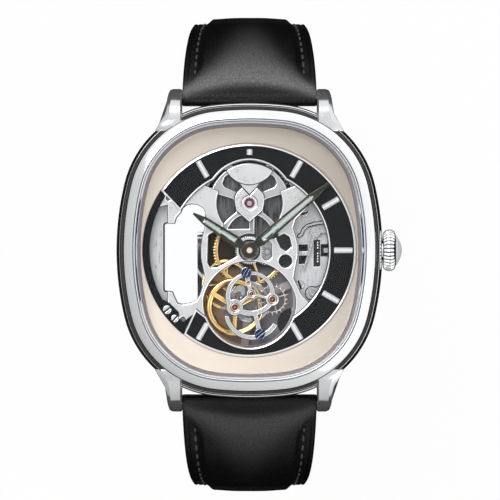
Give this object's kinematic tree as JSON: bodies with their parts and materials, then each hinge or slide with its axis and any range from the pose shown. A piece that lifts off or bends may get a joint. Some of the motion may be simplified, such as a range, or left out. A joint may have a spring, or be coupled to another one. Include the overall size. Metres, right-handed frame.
{
  "type": "tourbillon wristwatch",
  "caption": "Cushion-cased wristwatch with an open-worked dial, a one-minute tourbillon at 6 o'clock, baton hands, a ribbed crown and a closed leather strap with a pin buckle",
  "frame": {"origin": "On the axis of the hands, at the outer face of the case back, where the watch lies against the wrist", "axes": "+Z is out of the dial, +Y points to 12 o'clock and +X points along the crown to 3 o'clock"},
  "size_m": [0.0438, 0.0728, 0.0554],
  "materials": {
    "case_steel": "polished",
    "bezel_steel": "polished",
    "crystal_glass": "clear, bevelled edge",
    "gasket": "translucent blue-grey",
    "back_steel": "brushed",
    "screw_steel": "polished, slotted",
    "crown_steel": "polished, ribbed",
    "stem_steel": "satin",
    "leather": "fine grain, padded, stitched",
    "buckle_steel": "polished",
    "ring_grey": "satin",
    "flange_cream": "satin champagne",
    "ring_black": "satin black, polished edges",
    "index_silver": "faceted, polished",
    "hand_black": "satin olive-black",
    "lume": "pale green-white",
    "plate_grey": "satin",
    "bridge_silver": "bright satin, bevelled",
    "spider_grey": "satin, bevelled",
    "ruby": "polished",
    "drum_grey": "circular brushed",
    "spring_blue": "polished",
    "wheel_steel": "sunburst",
    "gold": "gilt",
    "blue_steel": "heat-blued",
    "cage_steel": "polished",
    "escape_steel": "pinkish, polished"
  },
  "bodies": {
    "case": {"case_body": "case_steel", "bezel": "bezel_steel", "crystal": "crystal_glass", "crystal_gasket": "gasket", "case_back": "back_steel", "back_crystal": "crystal_glass", "back_screws": "screw_steel", "crown_tube": "case_steel", "strap_upper": "leather", "strap_lower": "leather", "spring_bars": "case_steel", "buckle_frame": "buckle_steel", "buckle_bar": "case_steel", "keeper_fixed": "leather", "movement_ring": "ring_grey", "dial_flange": "flange_cream", "chapter_ring": "ring_black", "lower_ring": "ring_black", "ring_screws": "screw_steel", "hour_indices": "index_silver", "main_plate": "plate_grey", "centre_bridge": "bridge_silver", "barrel_bridge": "spider_grey", "barrel_cap": "spider_grey", "train_bridge": "bridge_silver", "jewels": "ruby", "bridge_screws": "screw_steel", "keyless_springs": "wheel_steel", "fixed_wheel": "wheel_steel"},
    "buckle_tongue": {"buckle_tongue": "buckle_steel"},
    "keeper_free": {"keeper_free": "leather"},
    "winding_pinion": {"winding_pinion": "wheel_steel"},
    "crown": {"crown": "crown_steel", "winding_stem": "stem_steel"},
    "setting_lever": {"setting_lever": "wheel_steel"},
    "crown_wheel": {"crown_wheel": "wheel_steel"},
    "ratchet_wheel": {"ratchet_wheel": "wheel_steel"},
    "click": {"click": "wheel_steel"},
    "barrel": {"barrel_drum": "drum_grey", "mainspring": "spring_blue"},
    "centre_wheel": {"centre_wheel": "gold"},
    "third_wheel": {"third_wheel": "gold"},
    "minute_hand": {"cannon_pinion": "gold", "minute_hand": "hand_black", "minute_lume": "lume"},
    "minute_wheel": {"minute_wheel": "wheel_steel"},
    "hour_hand": {"hour_wheel": "wheel_steel", "hour_hand": "hand_black", "hour_lume": "lume"},
    "cage": {"cage_base": "cage_steel", "cage_bridge": "cage_steel", "cage_screws": "blue_steel", "cage_chatons": "gold", "cage_rubies": "ruby", "hairspring": "spring_blue"},
    "balance": {"balance_wheel": "gold"},
    "pallet": {"pallet_fork": "cage_steel", "pallet_stones": "ruby"},
    "escape": {"escape_wheel": "escape_steel", "escape_pinion": "wheel_steel"}
  },
  "joints": [
    {"name": "minute_spin", "type": "hinge", "parent": "case", "child": "minute_hand", "pos_m": [0, 0, 0.0045], "axis": [0, 0, -1], "continuous": true},
    {"name": "minute_wheel_spin", "type": "hinge", "parent": "case", "child": "minute_wheel", "pos_m": [0.00269, -0.00024, 0.0048], "axis": [0, 0, -1], "continuous": true},
    {"name": "hour_spin", "type": "hinge", "parent": "case", "child": "hour_hand", "pos_m": [0, 0, 0.0051], "axis": [0, 0, -1], "continuous": true},
    {"name": "cage_spin", "type": "hinge", "parent": "case", "child": "cage", "pos_m": [0, -0.0079, 0.0036], "axis": [0, 0, -1], "continuous": true},
    {"name": "third_spin", "type": "hinge", "parent": "case", "child": "third_wheel", "pos_m": [-0.0035, -0.0053, 0.0025], "axis": [0, 0, -1], "continuous": true},
    {"name": "centre_spin", "type": "hinge", "parent": "case", "child": "centre_wheel", "pos_m": [0, 0, 0.00285], "axis": [0, 0, -1], "continuous": true},
    {"name": "barrel_spin", "type": "hinge", "parent": "case", "child": "barrel", "pos_m": [0, 0.0072, 0.0033], "axis": [0, 0, -1], "continuous": true},
    {"name": "escape_spin", "type": "hinge", "parent": "cage", "child": "escape", "pos_m": [0.0035, -0.00752, 0.0046], "axis": [0, 0, -1], "continuous": true},
    {"name": "balance_swing", "type": "hinge", "parent": "cage", "child": "balance", "pos_m": [-0.00225, -0.00872, 0.0041], "axis": [0, 0, -1], "range_deg": [-270, 270], "stiffness_Nm_per_rad": 0.00000027},
    {"name": "pallet_rock", "type": "hinge", "parent": "cage", "child": "pallet", "pos_m": [0.0003, -0.00663, 0.0046], "axis": [0, 0, -1], "range_deg": [-4.5, 4.5]},
    {"name": "winding_spin", "type": "hinge", "parent": "case", "child": "winding_pinion", "pos_m": [0.01293, 0, 0.004], "axis": [1, 0, 0], "continuous": true},
    {"name": "crown_pull", "type": "slide", "parent": "winding_pinion", "child": "crown", "axis": [1, 0, 0], "range_m": [0, 0.0012]},
    {"name": "crown_wheel_spin", "type": "hinge", "parent": "case", "child": "crown_wheel", "pos_m": [0.0096, 0, 0.0015], "axis": [0, 0, 1], "continuous": true},
    {"name": "ratchet_spin", "type": "hinge", "parent": "case", "child": "ratchet_wheel", "pos_m": [0, 0.0072, 0.0015], "axis": [0, 0, 1], "continuous": true},
    {"name": "setting_lever_turn", "type": "hinge", "parent": "case", "child": "setting_lever", "pos_m": [0.01418, 0.0035, 0.0048], "axis": [0, 0, 1], "range_deg": [0, 20.06]},
    {"name": "click_turn", "type": "hinge", "parent": "case", "child": "click", "pos_m": [-0.0079, 0.0106, 0.0015], "axis": [0, 0, 1], "range_deg": [0, 6], "stiffness_Nm_per_rad": 0.0002},
    {"name": "tongue_swing", "type": "hinge", "parent": "case", "child": "buckle_tongue", "pos_m": [0, 0.0021, -0.04097], "axis": [1, 0, 0], "range_deg": [0, 8]},
    {"name": "keeper_slide", "type": "hinge", "parent": "case", "child": "keeper_free", "pos_m": [0, 0.00787, -0.01397], "axis": [1, 0, 0], "range_deg": [-6, 6]}
  ],
  "couplings": [
    {"joint": "minute_wheel_spin", "follows": "minute_spin", "ratio": -0.33333},
    {"joint": "hour_spin", "follows": "minute_spin", "ratio": 0.083333},
    {"joint": "third_spin", "follows": "cage_spin", "ratio": -0.125},
    {"joint": "centre_spin", "follows": "cage_spin", "ratio": 0.016667},
    {"joint": "barrel_spin", "follows": "cage_spin", "ratio": -0.0020833},
    {"joint": "escape_spin", "follows": "cage_spin", "ratio": 10},
    {"joint": "crown_wheel_spin", "follows": "winding_spin", "ratio": 0.3},
    {"joint": "ratchet_spin", "follows": "winding_spin", "ratio": -0.24545},
    {"joint": "setting_lever_turn", "follows": "crown_pull", "rad_per_m": 291.63}
  ]
}
